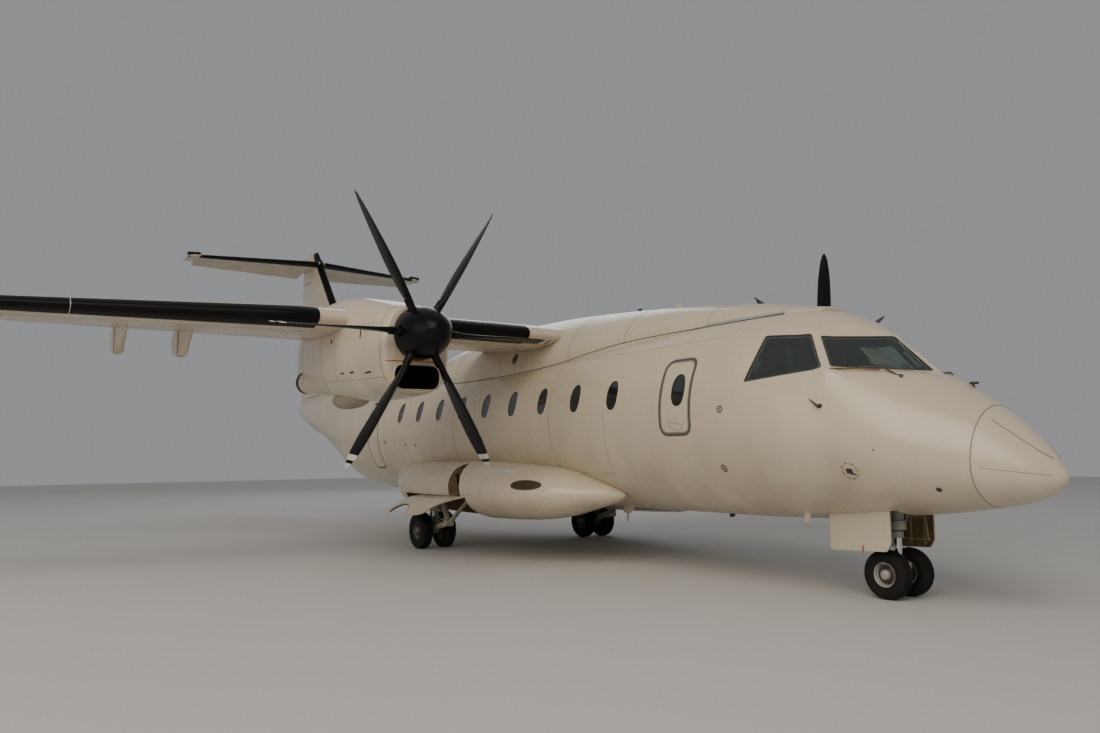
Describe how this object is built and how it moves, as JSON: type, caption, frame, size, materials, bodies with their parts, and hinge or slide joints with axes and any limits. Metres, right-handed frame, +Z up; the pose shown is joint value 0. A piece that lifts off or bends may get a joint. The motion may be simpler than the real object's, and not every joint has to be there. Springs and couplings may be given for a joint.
{
  "type": "turboprop airliner",
  "caption": "High-wing twin turboprop regional airliner with a T-tail, sponson main gear, moving control surfaces, doors, wheels and propellers.",
  "frame": {"origin": "on the ground below the middle of the aircraft's length and span", "axes": "+X forward to the nose, +Y to port, +Z up"},
  "size_m": [21.11, 20.98, 7.24],
  "materials": {
    "airframe_paint": "gloss",
    "propeller_black": "satin",
    "cockpit_glass": "clear",
    "tyre_rubber": "matte",
    "wheel_metal": "satin",
    "gear_paint": "satin",
    "engine_metal": "satin"
  },
  "bodies": {
    "airframe": {"fuselage_nose": "airframe_paint", "fuselage_cabin": "airframe_paint", "fuselage_tail": "airframe_paint", "radome": "airframe_paint", "wing_fairing": "airframe_paint", "wing": "airframe_paint", "fin": "airframe_paint", "tailplane": "airframe_paint", "nose_leg": "gear_paint", "sponson_right": "airframe_paint", "sponson_left": "airframe_paint", "nacelle_right": "airframe_paint", "nacelle_left": "airframe_paint", "engine_right": "engine_metal", "engine_left": "engine_metal", "windshield_right": "cockpit_glass", "windshield_left": "cockpit_glass", "side_window_right": "cockpit_glass", "side_window_left": "cockpit_glass", "main_leg_right": "gear_paint", "main_leg_left": "gear_paint", "nose_door_right": "airframe_paint", "nose_door_left": "airframe_paint", "main_door_right": "airframe_paint", "main_door_left": "airframe_paint"},
    "passenger_door": {"passenger_door": "airframe_paint"},
    "baggage_door": {"baggage_door": "airframe_paint"},
    "service_door": {"service_door": "airframe_paint"},
    "rudder": {"rudder": "airframe_paint"},
    "nose_steering": {"nose_steering": "gear_paint"},
    "flap_inner_right": {"flap_inner_right": "airframe_paint"},
    "flap_inner_left": {"flap_inner_left": "airframe_paint"},
    "flap_outer_right": {"flap_outer_right": "airframe_paint"},
    "flap_outer_left": {"flap_outer_left": "airframe_paint"},
    "aileron_right": {"aileron_right": "airframe_paint"},
    "aileron_left": {"aileron_left": "airframe_paint"},
    "elevator_right": {"elevator_right": "airframe_paint"},
    "elevator_left": {"elevator_left": "airframe_paint"},
    "nose_wheels": {"nose_wheels": "wheel_metal", "nose_tyre_right": "tyre_rubber", "nose_tyre_left": "tyre_rubber"},
    "main_wheels_right": {"main_wheels_right": "wheel_metal", "main_tyre_outer_right": "tyre_rubber", "main_tyre_inner_right": "tyre_rubber"},
    "propeller_right": {"propeller_right": "propeller_black", "spinner_right": "propeller_black"},
    "main_wheels_left": {"main_wheels_left": "wheel_metal", "main_tyre_outer_left": "tyre_rubber", "main_tyre_inner_left": "tyre_rubber"},
    "propeller_left": {"propeller_left": "propeller_black", "spinner_left": "propeller_black"}
  },
  "joints": [
    {"name": "flap_inner_right_hinge", "type": "hinge", "parent": "airframe", "child": "flap_inner_right", "pos_m": [2.15, -1.62, 2.86], "axis": [0, -1, 0], "range_deg": [0, 32]},
    {"name": "flap_inner_left_hinge", "type": "hinge", "parent": "airframe", "child": "flap_inner_left", "pos_m": [2.15, 1.62, 2.86], "axis": [0, -1, 0], "range_deg": [0, 32]},
    {"name": "flap_outer_right_hinge", "type": "hinge", "parent": "airframe", "child": "flap_outer_right", "pos_m": [2.15, -4.12, 2.86], "axis": [-0.0523, -0.9986, 0], "range_deg": [0, 32]},
    {"name": "flap_outer_left_hinge", "type": "hinge", "parent": "airframe", "child": "flap_outer_left", "pos_m": [2.15, 4.12, 2.86], "axis": [0.0523, -0.9986, 0], "range_deg": [0, 32]},
    {"name": "aileron_right_hinge", "type": "hinge", "parent": "airframe", "child": "aileron_right", "pos_m": [1.99, -6.67, 3.23531], "axis": [-0.0379, -0.9993, -0.0018], "range_deg": [-20, 20]},
    {"name": "aileron_left_hinge", "type": "hinge", "parent": "airframe", "child": "aileron_left", "pos_m": [1.99, 6.67, 3.23531], "axis": [0.0379, -0.9993, 0.0018], "range_deg": [-20, 20]},
    {"name": "elevator_right_hinge", "type": "hinge", "parent": "airframe", "child": "elevator_right", "pos_m": [-9.86, -0.2, 6.84], "axis": [-0.0988, -0.9951, 0], "range_deg": [-42, 3]},
    {"name": "elevator_left_hinge", "type": "hinge", "parent": "airframe", "child": "elevator_left", "pos_m": [-9.86, 0.2, 6.84], "axis": [0.0988, -0.9951, 0], "range_deg": [-42, 3]},
    {"name": "rudder_hinge", "type": "hinge", "parent": "airframe", "child": "rudder", "pos_m": [-8.5, 0, 3.14], "axis": [-0.3083, 0, 0.9513], "range_deg": [-24, 24]},
    {"name": "propeller_right_spin", "type": "hinge", "parent": "airframe", "child": "propeller_right", "pos_m": [5.166, -3.559, 2.907], "axis": [0.999, 0, -0.045], "continuous": true},
    {"name": "propeller_left_spin", "type": "hinge", "parent": "airframe", "child": "propeller_left", "pos_m": [5.166, 3.559, 2.907], "axis": [0.999, 0, -0.045], "continuous": true},
    {"name": "nose_steer", "type": "hinge", "parent": "airframe", "child": "nose_steering", "pos_m": [8.845, 0, 0.5], "axis": [0, 0, 1], "range_deg": [-60, 60]},
    {"name": "nose_wheels_roll", "type": "hinge", "parent": "nose_steering", "child": "nose_wheels", "pos_m": [8.845, 0, 0.245], "axis": [0, 1, 0], "continuous": true},
    {"name": "main_wheels_right_roll", "type": "hinge", "parent": "airframe", "child": "main_wheels_right", "pos_m": [1.425, -1.61, 0.29], "axis": [0, 1, 0], "continuous": true},
    {"name": "main_wheels_left_roll", "type": "hinge", "parent": "airframe", "child": "main_wheels_left", "pos_m": [1.425, 1.61, 0.29], "axis": [0, 1, 0], "continuous": true},
    {"name": "passenger_door_hinge", "type": "hinge", "parent": "airframe", "child": "passenger_door", "pos_m": [6.8, 0.77033, 1.035], "axis": [-1, 0, 0], "range_deg": [0, 110]},
    {"name": "baggage_door_hinge", "type": "hinge", "parent": "airframe", "child": "baggage_door", "pos_m": [-2.89, 0.90238, 2.705], "axis": [1, 0, 0], "range_deg": [0, 95]},
    {"name": "service_door_hinge", "type": "hinge", "parent": "airframe", "child": "service_door", "pos_m": [-2.15, -1.03688, 2.505], "axis": [-1, 0, 0], "range_deg": [0, 95]}
  ],
  "couplings": [
    {"joint": "flap_inner_left_hinge", "follows": "flap_inner_right_hinge", "ratio": 1},
    {"joint": "flap_outer_right_hinge", "follows": "flap_inner_right_hinge", "ratio": 1},
    {"joint": "flap_outer_left_hinge", "follows": "flap_inner_right_hinge", "ratio": 1},
    {"joint": "aileron_left_hinge", "follows": "aileron_right_hinge", "ratio": -1},
    {"joint": "elevator_left_hinge", "follows": "elevator_right_hinge", "ratio": 1}
  ]
}
